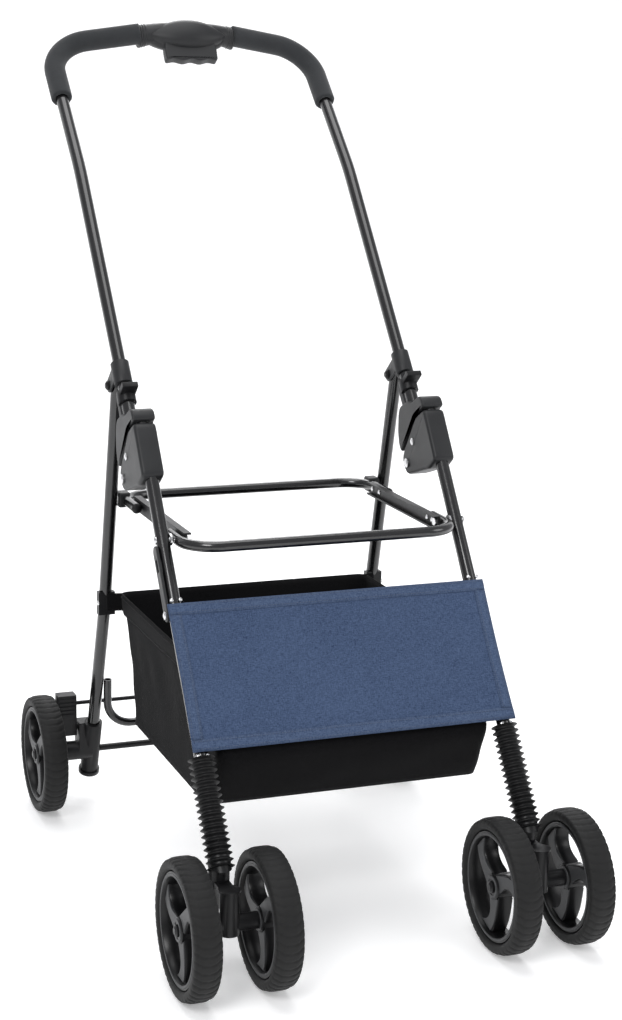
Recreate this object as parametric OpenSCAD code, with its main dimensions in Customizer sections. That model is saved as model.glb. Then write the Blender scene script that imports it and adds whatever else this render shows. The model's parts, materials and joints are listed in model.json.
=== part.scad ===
// Folding trolley frame: twin front casters, braked rear wheels, carrier ring, basket and U handle.
// +Z up, +Y towards the person pushing, X across. Millimetres.

/* [Overall] */
// Distance from the front wheels' axle to the rear wheels' axle
wheelbase = 553; // [500:1:620]
// Distance between the middles of the two side frames
frame_w = 345; // [300:1:420]
// Diameter of every wheel over its tyre
wheel_d = 145; // [130:1:155]

/* [Tubes] */
// Outer diameter of the leg and handle tubes
tube_d = 15; // [14:0.5:18]
// Wall of the leg and handle tubes
tube_wall = 1.5; // [1.2:0.1:2]
// Outer diameter of the carrier ring's tubes
ring_d = 12; // [9:0.5:14]
// Outer diameter of the rear cross tube
cross_d = 10; // [8:0.5:12]

/* [Front legs] */
// Lean of the front legs from upright, in degrees
front_lean = 35.6; // [32:0.1:38]
// Height of the leg foot above the wheel centre
foot_rise = 58.5; // [56:0.5:70]
// Length of the front leg from its foot to its top end
front_leg_len = 490; // [478:1:500]
// Length of the bellows over the suspension
bellows_len = 96; // [88:1:98]
// Outer diameter of the bellows
bellows_d = 29; // [27:0.5:32]
// Number of folds in the bellows
bellows_folds = 17; // [12:1:20]
// Travel of the suspension
strut_travel = 18; // [10:1:20]

/* [Handle] */
// Distance up the front leg to the fold pivot
pivot_up = 450; // [446:1:462]
// Distance of the fold pivot behind the front leg
pivot_back = 64; // [60:1:70]
// Lean of the lower handle from upright, in degrees
handle_lean = 40.2; // [38:0.1:43]
// Lean of the upper handle from upright, in degrees
handle_top_lean = 47.2; // [44:0.1:52]
// Distance of the handle tube in front of the fold pivot
handle_front = 30.8; // [30:0.1:33]
// Length of the handle's lower straight
handle_low = 406; // [330:1:480]
// Length of the handle's upper straight
handle_high = 212; // [180:1:260]
// How far the middle of the grip bar bows forward
grip_bow = 32; // [10:1:40]
// How far the middle of the grip bar rises
grip_rise = 26; // [10:1:35]
// Bend radius of the handle's corners
corner_r = 46; // [40:1:60]
// Outer diameter of the foam grips
foam_d = 26; // [22:1:32]
// Lean of the release lever from upright, in degrees
lever_lean = 30; // [20:1:45]
// Travel of the release lever
lever_travel = 5; // [3:0.5:6]

/* [Rear legs] */
// Distance up the handle from the fold pivot to the rear leg pivot
rear_pivot_up = 118; // [114:1:124]
// Gap between the handle tube and the rear leg at its pivot
rear_leg_gap = 9; // [8:0.5:12]
// Lean of the upper rear legs from upright, in degrees
rear_lean = 13; // [11:0.1:15]
// Height of the bend in the rear legs above the wheel centre
rear_bend_rise = 200; // [180:1:220]
// Distance from the side frame's middle to the rear wheel's middle
rear_wheel_out = 59.5; // [56:0.5:70]

/* [Wheels] */
// Width of the tyre
tyre_w = 30; // [26:1:34]
// Height of the tyre's section above the rim
tyre_h = 14; // [12:0.5:20]
// Distance of each caster wheel from the caster's middle
twin_gap = 42.1; // [41:0.5:46]
// Distance from the swivel axis to the caster's axle
trail = 32; // [28:1:36]
// Diameter of the wheel axles
axle_d = 8; // [6:0.5:10]

/* [Carrier ring] */
// Distance up the front leg to the ring's pivot
ring_up = 348; // [330:1:360]
// Distance of the ring's front tube ahead of its pivot
ring_ahead = 46; // [38:1:55]
// Distance of the ring's rear tube behind the rear legs
ring_behind = 17; // [14:1:25]

/* [Soft goods] */
// Distance up the leg to the panel's lower edge
panel_low = 108; // [106:1:130]
// Height of the panel along the leg
panel_h = 163; // [120:1:180]
// How far the panel reaches past the middle of each leg
panel_over = 10.5; // [8:0.5:14]
// Thickness of the panel's cloth
panel_t = 2.4; // [1.5:0.1:3]
// Height of the basket's floor above the tops of the wheels
basket_floor_gap = 5.5; // [0:0.5:25]
// Depth of the basket
basket_h = 145; // [120:1:150]
// Wall of the basket
basket_wall = 2.5; // [1.5:0.1:3]

/* [Fits] */
// Radial clearance of a pin that turns or slides in its bore
run_gap = 0.05; // [0.02:0.01:0.1]
// Gap between pieces that pass each other
pass_gap = 0.6; // [0.4:0.1:1]

/* [Hidden] */
$fn = 48;

wheel_r = wheel_d / 2;
rim_d = wheel_d - 2 * tyre_h;
panel_w = frame_w + 2 * panel_over;
rear_pivot_gap = tube_d + rear_leg_gap;
side_x = frame_w / 2;
tube_r = tube_d / 2;
tube_bore = tube_d - 2 * tube_wall;
over = 1;

// Places in the side plane are [y, z] pairs, first measured from the front axle.
function along(lean, up, back) =
    [up * sin(lean) + back * cos(lean), up * cos(lean) - back * sin(lean)];
foot0 = [trail, wheel_r + foot_rise];
fold0 = foot0 + along(front_lean, pivot_up, pivot_back);
bend0 = fold0 + along(handle_lean, handle_low, -handle_front);
corner0 = bend0 + along(handle_top_lean, handle_high, 0);
corner_pull = 6.4;
mid_y = (corner0[0] - corner_pull + foam_d / 2 - wheel_r) / 2;

// The same places measured from the middle of the whole trolley.
function place(q) = [q[0] - mid_y, q[1]];
front_axle = place([0, wheel_r]);
foot = place(foot0);
fold_pivot = place(fold0);
handle_bend = place(bend0);
corner = place(corner0);
rear_axle_yz = front_axle + [wheelbase, 0];
rear_pivot = fold_pivot + along(handle_lean, rear_pivot_up, rear_pivot_gap - handle_front);
ring_pivot = foot + along(front_lean, ring_up, 0);
function rear_leg_y(z) = rear_pivot[0] + (rear_pivot[1] - z) * tan(rear_lean);
rear_bend = [rear_leg_y(wheel_r + rear_bend_rise), wheel_r + rear_bend_rise];
ring_back_pivot = [rear_leg_y(ring_pivot[1]), ring_pivot[1]];
ring_x = side_x - tube_r - ring_d / 2 - 2.5;
basket_floor = wheel_d + basket_floor_gap;
basket_top = basket_floor + basket_h;
lower_drop = rear_bend[1] - rear_axle_yz[1];
rear_low_lean = atan2(rear_axle_yz[0] - rear_bend[0], lower_drop);
function rear_low_y(z) = rear_bend[0] + (rear_bend[1] - z) * tan(rear_low_lean);

// ---- shapes used by several pieces ----
function unit(v) = v / norm(v);
function bend_angle(a, b, c) = acos(min(1, unit(b - a) * unit(c - b)));
function bend_cut(a, b, c, r) = r * tan(bend_angle(a, b, c) / 2);

module rod(a, b, d) {
    v = b - a;
    translate(a)
        rotate([0, acos(v[2] / norm(v)), atan2(v[1], v[0])])
            cylinder(h = norm(v), d = d);
}

module elbow(a, b, c, r, d) {
    run = unit(b - a);
    inward = unit(unit(c - b) - (unit(c - b) * run) * run);
    turn_axis = cross(-inward, run);
    centre = b - run * bend_cut(a, b, c, r) + inward * r;
    multmatrix([[-inward[0], run[0], turn_axis[0], centre[0]],
                [-inward[1], run[1], turn_axis[1], centre[1]],
                [-inward[2], run[2], turn_axis[2], centre[2]],
                [0, 0, 0, 1]])
        rotate_extrude(angle = bend_angle(a, b, c), $fn = sweep_steps)
            translate([r, 0]) circle(d = d + 2 * bend_proud, $fn = 48);
}

// A round bar along a row of points, with a bend of its own radius at each inner point. The bends
// stand a hair proud of the straights, which run a little way into them.
bend_proud = 0.03;
bend_lap = 0.5;
sweep_steps = 288;
module bent_bar(pts, radii, d) {
    last = len(pts) - 1;
    for (i = [0 : last - 1]) {
        run = unit(pts[i + 1] - pts[i]);
        trim_a = i == 0 ? 0 : bend_cut(pts[i - 1], pts[i], pts[i + 1], radii[i - 1]);
        trim_b = i == last - 1 ? 0 : bend_cut(pts[i], pts[i + 1], pts[i + 2], radii[i]);
        rod(pts[i] + run * (trim_a - (i == 0 ? 0 : bend_lap)),
            pts[i + 1] - run * (trim_b - (i == last - 1 ? 0 : bend_lap)), d);
        if (i < last - 1)
            elbow(pts[i], pts[i + 1], pts[i + 2], radii[i], d);
    }
}

// The same bar with a bore, open at both ends.
module bent_tube(pts, radii, d, bore) {
    last = len(pts) - 1;
    head = pts[0] - unit(pts[1] - pts[0]) * over;
    tail = pts[last] + unit(pts[last] - pts[last - 1]) * over;
    inner = [for (i = [0 : last]) i == 0 ? head : i == last ? tail : pts[i]];
    difference() {
        bent_bar(pts, radii, d);
        bent_bar(inner, radii, bore);
    }
}

// Local frames in a side plane: X stays across, Z runs up the tube, Y points behind it.
module leg_frame(side) {
    translate([side * side_x, foot[0], foot[1]]) rotate([-front_lean, 0, 0]) children();
}
module lock_frame(side) {
    leg_frame(side) translate([0, pivot_back, pivot_up]) children();
}
module handle_frame(side) {
    translate([side * side_x, fold_pivot[0], fold_pivot[1]])
        rotate([-handle_lean, 0, 0])
            translate([0, -handle_front, 0])
                children();
}
module cross_pin(side, q, d, x0, x1) {
    translate([side * side_x, q[0], q[1]])
        rotate([0, 90, 0])
            translate([0, 0, x0]) cylinder(h = x1 - x0, d = d);
}
// A plate in the side plane: its outline is drawn as [back, up], its thickness lies across.
module side_plate(thick) {
    rotate([90, 0, 90])
        translate([0, 0, -thick / 2]) linear_extrude(thick) children();
}
module domed_head(d, h) {
    cylinder(h = h * 0.5, d = d);
    translate([0, 0, h * 0.5]) cylinder(h = h * 0.5, d1 = d, d2 = d * 0.55, $fn = 48);
}

// ---- front legs ----
leg_low = 84;
module front_leg(side) {
    color([0.05, 0.05, 0.055])
        leg_frame(side)
            difference() {
                translate([0, 0, leg_low]) cylinder(h = front_leg_len - leg_low, d = tube_d);
                translate([0, 0, leg_low - over])
                    cylinder(h = front_leg_len - leg_low + 2 * over, d = tube_bore);
                translate([0, 0, ring_up]) rotate([0, 90, 0])
                    cylinder(h = 2 * tube_d, d = pin_d, center = true);
            }
}

// ---- lock housings; their outlines are measured from the fold pivot ----
lock_w = tube_d + 11;
cheek_t = 4;
tongue_w = lock_w - 2 * cheek_t - 2 * pass_gap;
knuckle_r = 14;
boss_proud = 0.8;
pin_d = 6;
screw_d = 5;
fold_pin_d = 8;
lock_screw = [-27, 15];
lock_front = -pivot_back - tube_r - 4;
core_back = -pivot_back + tube_r + 5;
lock_low = -23;
split_front = [-46, 58];
split_rear = [8, 20];
module lower_outline() {
    polygon([[lock_front, lock_low], [lock_front, 52], [lock_front + 7, 60], split_front, split_rear,
             [7, 0], [-6, -8], [core_back + 6, lock_low]]);
}
module lower_lock(side) {
    color([0.24, 0.245, 0.25])
        lock_frame(side)
            difference() {
                union() {
                    side_plate(lock_w) lower_outline();
                    rotate([0, 90, 0])
                        cylinder(h = lock_w + 2 * boss_proud, r = knuckle_r, center = true);
                }
                side_plate(lock_w - 2 * cheek_t)
                    translate([core_back, -60]) square([120, 140]);
                translate([0, -pivot_back, -60])
                    cylinder(h = 60 + front_leg_len - pivot_up, d = tube_d);
                rotate([0, 90, 0]) cylinder(h = lock_w + 4, d = fold_pin_d, center = true);
                translate([0, lock_screw[0], lock_screw[1]]) rotate([0, 90, 0])
                    cylinder(h = lock_w + 2, d = screw_d, center = true);
            }
}
module upper_lock(side) {
    lift = 1.2;
    far = split_front + [0.5, lift];
    color([0.26, 0.265, 0.27])
        difference() {
            union() {
                lock_frame(side) side_plate(lock_w)
                    polygon([far, [-43, 72], [-36, 79], [-13, 79], [-6, 66], [7, 44],
                             [11, 28], split_rear + [1, lift]]);
                lock_frame(side) side_plate(tongue_w) {
                    circle(r = knuckle_r - 2);
                    polygon([[core_back + 7, 56], [core_back + 7, 12], [-20, -10], [-4, -8],
                             [8, 0], [9, 26], [-12, 70], [-38, 70]]);
                }
            }
            handle_frame(side) translate([0, 0, tube_seat]) cylinder(h = 120, d = tube_d);
            lock_frame(side) rotate([0, 90, 0])
                cylinder(h = lock_w + 2, d = fold_pin_d + 2 * run_gap, center = true);
        }
}
tube_seat = 12;
module fold_pivot_pins() {
    color([0.8, 0.8, 0.8])
        for (side = [-1, 1]) {
            cross_pin(side, fold_pivot, fold_pin_d, -lock_w / 2 - 1.5, lock_w / 2 + 1.5);
            for (face = [-1, 1])
                translate([side * side_x + face * (lock_w / 2 + boss_proud), fold_pivot[0], fold_pivot[1]])
                    rotate([0, face * 90, 0]) domed_head(fold_pin_d + 3, 2);
        }
}
// Screws in the cheeks; the tongue passes between their ends.
module lock_screws() {
    color([0.8, 0.8, 0.8])
        for (side = [-1, 1])
            lock_frame(side) translate([0, lock_screw[0], lock_screw[1]])
                for (face = [-1, 1]) rotate([0, face * 90, 0])
                    translate([0, 0, lock_w / 2 - cheek_t]) {
                        cylinder(h = cheek_t + 0.5, d = screw_d);
                        translate([0, 0, cheek_t]) domed_head(screw_d + 3.5, 1.8);
                    }
}

// ---- suspension and casters ----
strut_low = -4;
crown_z = wheel_r + foot_rise - 9;
strut_d = tube_bore - 2 * run_gap;
strut_top = 190;
kingpin_d = 9;
kingpin_low = wheel_r + foot_rise - 40;
module strut(side) {
    color([0.07, 0.07, 0.075]) {
        leg_frame(side) translate([0, 0, strut_low]) cylinder(h = strut_top - strut_low, d = strut_d);
        intersection() {
            leg_frame(side) translate([0, 0, -30]) cylinder(h = 31, d = 22);
            translate([side * side_x, foot[0], crown_z + 15])
                cube([60, 60, 30], center = true);
        }
        translate([side * side_x, foot[0], crown_z]) cylinder(h = 6, d = 23);
        translate([side * side_x, foot[0], kingpin_low])
            cylinder(h = crown_z - kingpin_low + 1, d = kingpin_d);
    }
}
spring_wire = 1.6;
spring_turns = 9;
spring_gap = 0.4;
spring_len = 60;
function spring_point(t, phi) =
    let (r = tube_bore / 2 - spring_gap - spring_wire / 2 + spring_wire / 2 * cos(phi))
    [r * cos(360 * spring_turns * t), r * sin(360 * spring_turns * t),
     spring_wire / 2 + t * (spring_len - spring_wire) + spring_wire / 2 * sin(phi)];
module strut_spring(side) {
    steps = spring_turns * 14;
    sides = 6;
    ring = [for (i = [0 : steps]) for (j = [0 : sides - 1]) spring_point(i / steps, j * 360 / sides)];
    walls = [for (i = [0 : steps - 1]) for (j = [0 : sides - 1])
        [i * sides + j, i * sides + (j + 1) % sides,
         (i + 1) * sides + (j + 1) % sides, (i + 1) * sides + j]];
    ends = [[for (j = [sides - 1 : -1 : 0]) j], [for (j = [0 : sides - 1]) steps * sides + j]];
    color([0.6, 0.6, 0.62])
        leg_frame(side) translate([0, 0, strut_top])
            polyhedron(ring, concat(walls, ends));
}
bellows_low = 7;
bellows_bore = tube_d + 2;
module bellows(side) {
    pitch = bellows_len / bellows_folds;
    root_r = bellows_d / 2 - 4;
    outline = [for (i = [0 : bellows_folds - 1]) each
        [[root_r, i * pitch], [bellows_d / 2, (i + 0.5) * pitch]]];
    color([0.04, 0.04, 0.045])
        leg_frame(side) translate([0, 0, bellows_low])
            rotate_extrude()
                polygon(concat([[bellows_bore / 2, 0]], outline,
                               [[root_r, bellows_len], [bellows_bore / 2, bellows_len]]));
}

hub_y = front_axle[0] - 3;
knuckle_d = 20;
knuckle_top = wheel_r + 36;
module caster_carrier(side) {
    neck_d = 22;
    color([0.05, 0.05, 0.055])
        translate([side * side_x, 0, 0])
            difference() {
                union() {
                    translate([0, foot[0], kingpin_low - 4])
                        cylinder(h = crown_z - kingpin_low + 4 - pass_gap, d = neck_d);
                    translate([0, hub_y, wheel_r - 10])
                        cylinder(h = knuckle_top - wheel_r + 10, d = knuckle_d);
                    translate([0, hub_y, knuckle_top]) cylinder(h = 2, d = knuckle_d + 3);
                    translate([-8, hub_y, kingpin_low - 4])
                        cube([16, foot[0] - hub_y, knuckle_top - kingpin_low + 4]);
                    translate([0, front_axle[0], wheel_r]) rotate([0, 90, 0])
                        cylinder(h = 2 * (twin_gap - hub_w / 2 - hub_gap), d = 18, center = true);
                }
                translate([0, foot[0], kingpin_low - pass_gap])
                    cylinder(h = 60, d = kingpin_d + 2 * run_gap);
                translate([0, front_axle[0], wheel_r]) rotate([0, 90, 0])
                    cylinder(h = 90, d = axle_d, center = true);
            }
}
hub_gap = 0.4;
head_h = 3.4;
// An axle with a domed head just outside the hub at each end; reach is the wheel middle's place.
module wheel_axle(reach) {
    half = reach + hub_w / 2 + hub_gap;
    cylinder(h = 2 * half + 1, d = axle_d, center = true);
    for (face = [0, 180]) rotate([0, face, 0])
        translate([0, 0, half]) domed_head(axle_d + 5, head_h);
}
module caster_axle(side) {
    color([0.75, 0.75, 0.77])
        translate([side * side_x, front_axle[0], wheel_r]) rotate([0, 90, 0]) wheel_axle(twin_gap);
}
module tyre(x, y) {
    tread_r = 9;
    section_h = wheel_r - rim_d / 2;
    color([0.07, 0.07, 0.07])
        translate([x, y, wheel_r]) rotate([0, 90, 0])
            rotate_extrude() difference() {
                union() {
                    translate([rim_d / 2, -tyre_w / 2]) square([section_h - tread_r, tyre_w]);
                    translate([rim_d / 2, tread_r - tyre_w / 2])
                        square([section_h, tyre_w - 2 * tread_r]);
                    for (edge = [-1, 1])
                        translate([wheel_r - tread_r, edge * (tyre_w / 2 - tread_r)])
                            circle(r = tread_r);
                }
                translate([rim_d / 2 - tread_r, -tyre_w / 2 - over]) square([tread_r, tyre_w + 2 * over]);
            }
}
rim_w = 24;
hub_w = 22;
hub_d = 27;
spoke_w = 17;
module rim(x, y) {
    lip = 6;
    color([0.09, 0.09, 0.095])
        translate([x, y, wheel_r]) rotate([0, 90, 0])
            difference() {
                union() {
                    difference() {
                        cylinder(h = rim_w, d = rim_d, center = true);
                        cylinder(h = rim_w + 2, d = rim_d - 2 * lip, center = true);
                    }
                    cylinder(h = hub_w, d = hub_d, center = true);
                    for (turn = [0 : 120 : 240]) rotate([0, 0, turn + 12])
                        translate([0, -spoke_w / 2, -rim_w * 0.36])
                            cube([rim_d / 2 - lip / 2, spoke_w, rim_w * 0.72]);
                }
                cylinder(h = 2 * hub_w, d = axle_d + 2 * run_gap, center = true);
            }
}

// ---- handle ----
tip_low = fold_pivot + along(handle_lean, tube_seat, -handle_front);
grip_mid = [0, corner[0] - grip_bow, corner[1] + grip_rise];
function at(x, q) = [x, q[0], q[1]];
bar_run = unit(grip_mid - at(-side_x, corner));
foam_start_up = 94;
foam_start = corner - along(handle_top_lean, foam_start_up, 0);
joint_x = 60;
foam_end = at(-side_x, corner) + bar_run * ((side_x - joint_x) / bar_run[0]);
handle_bend_r = 260;
mid_bend_r = 320;
module handle_rod(d, reach) {
    low = tip_low - along(handle_lean, reach, 0);
    bent_bar([at(-side_x, low), at(-side_x, handle_bend), at(-side_x, corner), grip_mid,
              at(side_x, corner), at(side_x, handle_bend), at(side_x, low)],
             [handle_bend_r, corner_r, mid_bend_r, corner_r, handle_bend_r], d);
}
module handle_bar() {
    color([0.05, 0.05, 0.055])
        difference() {
            handle_rod(tube_d, 0);
            handle_rod(tube_bore, over);
            for (side = [-1, 1]) handle_frame(side)
                translate([0, 0, rear_pivot_up]) rotate([90, 0, 0])
                    cylinder(h = 2 * tube_d, d = 4, center = true);
        }
}
module foam_grip(side) {
    color([0.2, 0.2, 0.21])
        difference() {
            bent_bar([at(side * side_x, foam_start), at(side * side_x, corner),
                      [-side * foam_end[0], foam_end[1], foam_end[2]]], [corner_r], foam_d);
            handle_rod(tube_d, 0);
        }
}
// The release housing is a barrel round the middle of the grip bar, split into two shells.
shell_half = 47;
shell_r = tube_r + 8.5;
shell_end_r = tube_r + 2.5;
bar_sag = mid_bend_r * (1 / cos(bend_angle(at(-side_x, corner), grip_mid, at(side_x, corner)) / 2) - 1);
bow_len = norm([grip_bow, grip_rise]);
bar_mid = grip_mid + [0, grip_bow, -grip_rise] / bow_len * bar_sag;
lever_w = 64;
lever_t = 9;
lever_top = -tube_r - lever_travel - 1;
lever_h = 20;
function barrel_r(t) = shell_r - (shell_r - shell_end_r) * t * t;
module release_barrel() {
    side_pts = [for (t = [-1 : 0.2 : 1.01]) [barrel_r(t), t * shell_half]];
    translate(bar_mid) rotate([0, 90, 0])
        rotate_extrude() polygon(concat([[0, -shell_half]], side_pts, [[0, shell_half]]));
}
module release_shell(front) {
    color([0.27, 0.275, 0.28])
        difference() {
            release_barrel();
            bent_bar([at(-side_x, corner), grip_mid, at(side_x, corner)], [mid_bend_r], tube_d);
            translate(bar_mid) rotate([-lever_lean, 0, 0]) {
                translate([-100, front ? 0 : -60, -40]) cube([200, 60, 80]);
                translate([-lever_w / 2 - pass_gap, -lever_t / 2 - pass_gap, -shell_r - 10])
                    cube([lever_w + 2 * pass_gap, lever_t + 2 * pass_gap, shell_r + 10]);
            }
        }
}
module release_lever() {
    color([0.25, 0.255, 0.26])
        translate(bar_mid) rotate([-lever_lean, 0, 0])
            difference() {
                translate([-lever_w / 2, -lever_t / 2, lever_top - lever_h])
                    cube([lever_w, lever_t, lever_h]);
                for (x = [-20 : 20 : 20])
                    translate([x, 0, lever_top - lever_h - 26])
                        rotate([90, 0, 0]) cylinder(h = 40, r = 28.5, center = true);
            }
}

// ---- pieces on the handle tube beside the locks ----
sleeve_low = 104;
sleeve_h = 28;
sleeve_r = tube_r + 3;
slider_low = 79;
slider_h = 15;
slider_travel = 1.5 * lever_travel;
plate_t = 2;
plate_x = tube_r + 0.8;
module leg_bracket(side) {
    color([0.22, 0.225, 0.23])
        handle_frame(side)
            difference() {
                union() {
                    translate([0, 0, sleeve_low]) cylinder(h = sleeve_h, r = sleeve_r);
                    for (face = [-1, 1])
                        translate([face * (plate_x + plate_t / 2), 0, rear_pivot_up]) side_plate(plate_t) {
                            translate([rear_pivot_gap, 0]) circle(r = 8);
                            translate([0, -8]) square([rear_pivot_gap, 16]);
                        }
                }
                translate([0, 0, sleeve_low - over]) cylinder(h = sleeve_h + 2 * over, d = tube_d);
                translate([0, rear_pivot_gap, rear_pivot_up]) rotate([0, 90, 0])
                    cylinder(h = 60, d = pin_d, center = true);
            }
}
module bracket_pins() {
    outer = plate_x + plate_t;
    color([0.12, 0.12, 0.125])
        for (side = [-1, 1]) {
            cross_pin(side, rear_pivot, pin_d, -outer - 1, outer + 1);
            for (face = [-1, 1])
                translate([side * side_x + face * outer, rear_pivot[0], rear_pivot[1]])
                    rotate([0, face * 90, 0]) domed_head(pin_d + 5, 4);
        }
}
module lock_slider(side) {
    color([0.27, 0.275, 0.28])
        handle_frame(side)
            difference() {
                union() {
                    translate([0, 0, slider_low]) cylinder(h = slider_h, r = sleeve_r);
                    translate([-9, -24, slider_low + slider_h - 7]) cube([18, 24, 6]);
                }
                translate([0, 0, slider_low - over])
                    cylinder(h = slider_h + 2 * over, d = tube_d + 2 * run_gap);
            }
}

// ---- carrier ring ----
ring_bore = ring_d - 2.4;
ring_front_y = ring_pivot[0] - ring_ahead;
ring_back_y = ring_back_pivot[0] + ring_behind;
ring_corner_r = 38;
bar_lap = 34;
bar_front = ring_front_y + ring_corner_r + bar_lap + 1;
bar_back = ring_back_y - ring_corner_r - bar_lap - 1;
bar_t = 3;
bar_h = 15;
module ring_front_tube() {
    z = ring_pivot[1];
    color([0.05, 0.05, 0.055]) difference() {
        bent_tube([[-ring_x, bar_front, z], [-ring_x, ring_front_y, z],
                   [ring_x, ring_front_y, z], [ring_x, bar_front, z]],
                  [ring_corner_r, ring_corner_r], ring_d, ring_bore);
        translate([0, ring_pivot[0], z]) rotate([0, 90, 0])
            cylinder(h = frame_w, d = pin_d + 2 * run_gap, center = true);
    }
}
ring_rear_pts = [[-ring_x, bar_back, ring_pivot[1]], [-ring_x, ring_back_y, ring_pivot[1]],
                 [ring_x, ring_back_y, ring_pivot[1]], [ring_x, bar_back, ring_pivot[1]]];
module ring_rear_tube() {
    color([0.05, 0.05, 0.055])
        bent_tube(ring_rear_pts, [ring_corner_r, ring_corner_r], ring_d, ring_bore);
}
module ring_bar(side) {
    y0 = bar_front - bar_lap;
    y1 = bar_back + bar_lap;
    inner_x = ring_x - ring_d / 2 - bar_t;
    lip = 5;
    color([0.06, 0.06, 0.065]) difference() {
        translate([side < 0 ? -inner_x - bar_t : inner_x - lip, y0, ring_pivot[1] - bar_h / 2])
            cube([bar_t + lip, y1 - y0, bar_h]);
        translate([side < 0 ? -inner_x : inner_x - lip - over, y0 - over, ring_pivot[1] - bar_h / 2 + 2])
            cube([lip + over, y1 - y0 + 2 * over, bar_h - 4]);
        translate([side * inner_x, ring_pivot[0], ring_pivot[1]]) rotate([0, 90, 0])
            cylinder(h = 20, d = pin_d + 2 * run_gap, center = true);
    }
}
// Heads of the rivets that join the bars to the tubes, and the rear studs that face the rear legs.
ring_rivet_d = 6.5;
ring_pin_head = pin_d + 3;
first_rivet = ring_pivot[0] + (ring_pin_head + ring_rivet_d) / 2 + pass_gap;
module ring_rivets() {
    inner = ring_x - ring_d / 2 - bar_t;
    stud = side_x - tube_r - 0.4 - ring_x + 4;
    color([0.75, 0.75, 0.75])
        for (side = [-1, 1]) {
            for (y = [first_rivet, bar_front - 5, bar_back + 6, bar_back + bar_lap - 6])
                translate([side * inner, y, ring_pivot[1]])
                    rotate([0, -side * 90, 0]) domed_head(ring_rivet_d, 1.5);
            difference() {
                translate([side * (ring_x - 4), ring_back_pivot[0], ring_pivot[1]])
                    rotate([0, side * 90, 0]) cylinder(h = stud, d = ring_d - 1);
                bent_bar(ring_rear_pts, [ring_corner_r, ring_corner_r], ring_d);
            }
        }
}
module ring_pivot_pins() {
    inner = ring_x - ring_d / 2 - bar_t;
    spacer = ring_x + ring_d / 2 + 0.3;
    color([0.78, 0.78, 0.78])
        for (side = [-1, 1]) translate([0, ring_pivot[0], ring_pivot[1]]) rotate([0, side * 90, 0]) {
            translate([0, 0, inner - 1]) cylinder(h = side_x + tube_r + 1.5 - inner, d = pin_d);
            translate([0, 0, inner - 2.2]) cylinder(h = 2, d = ring_pin_head);
            translate([0, 0, spacer]) cylinder(h = side_x - tube_r - spacer, d = 13);
            translate([0, 0, side_x + tube_r]) domed_head(9, 2.4);
        }
}

// ---- rear frame ----
leg_end_rise = 13;
rear_top = 9;
rear_bend_r = 300;
rear_head = [rear_pivot[0] - rear_top * sin(rear_lean), rear_pivot[1] + rear_top * cos(rear_lean)];
rear_tip = [rear_low_y(wheel_r + leg_end_rise), wheel_r + leg_end_rise];
function rear_leg_pts(side) =
    [at(side * side_x, rear_head), at(side * side_x, rear_bend), at(side * side_x, rear_tip)];
module rear_leg(side) {
    color([0.05, 0.05, 0.055])
        difference() {
            bent_tube(rear_leg_pts(side), [rear_bend_r], tube_d, tube_bore);
            cross_pin(side, rear_pivot, pin_d + 2 * run_gap, -20, 20);
        }
}
rear_wheel_x = side_x + rear_wheel_out;
module rear_axle() {
    color([0.1, 0.1, 0.105])
        translate([0, rear_axle_yz[0], wheel_r]) rotate([0, 90, 0]) wheel_axle(rear_wheel_x);
}
cross_x = side_x - tube_r - cross_d / 2 - 0.4;
cross_top = wheel_r + 100;
cross_low = wheel_r + 41;
cross_y = rear_low_y(wheel_r + 92);
module cross_tube() {
    color([0.06, 0.06, 0.065]) bent_tube(
        [[-cross_x, rear_low_y(cross_top), cross_top], [-cross_x, cross_y, cross_low],
         [cross_x, cross_y, cross_low], [cross_x, rear_low_y(cross_top), cross_top]],
        [30, 30], cross_d, cross_d - 2.4);
}
block_w = tube_d + 7;
block_top = 42;
block_low = -35;
hub_reach = rear_wheel_out - hub_w / 2 - hub_gap;
pedal_x0 = 19;
pedal_w = rear_wheel_out - tyre_w / 2 - 2.5 - pedal_x0;
stem_w = pedal_x0 - 1.5;
stud_x0 = 11.5;
brake_pivot = [rear_axle_yz[0] + 4, wheel_r + 29];
module foot_block(side) {
    color([0.06, 0.06, 0.065])
        translate([side * side_x, rear_axle_yz[0], wheel_r])
            difference() {
                union() {
                    rotate([rear_low_lean, 0, 0]) {
                        translate([0, 0, block_low]) cylinder(h = block_top - block_low, d = block_w);
                        translate([0, 0, block_low]) cylinder(h = 5, d = block_w + 4);
                    }
                    rotate([0, side * 90, 0]) cylinder(h = hub_reach, d = 24);
                    translate([side < 0 ? -stem_w : 0, -12, 0]) cube([stem_w, 24, 38]);
                }
                rotate([rear_low_lean, 0, 0]) translate([0, 0, leg_seat])
                    cylinder(h = 90, d = tube_d);
                rotate([0, 90, 0]) cylinder(h = 200, d = axle_d, center = true);
                translate([side * stud_x0, brake_pivot[0] - rear_axle_yz[0], brake_pivot[1] - wheel_r])
                    rotate([0, side * 90, 0]) cylinder(h = 20, d = pin_d);
            }
}
leg_seat = leg_end_rise / cos(rear_low_lean);
bracket_z = rear_bend[1] + 10;
bracket_w = tube_d + 5;
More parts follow.
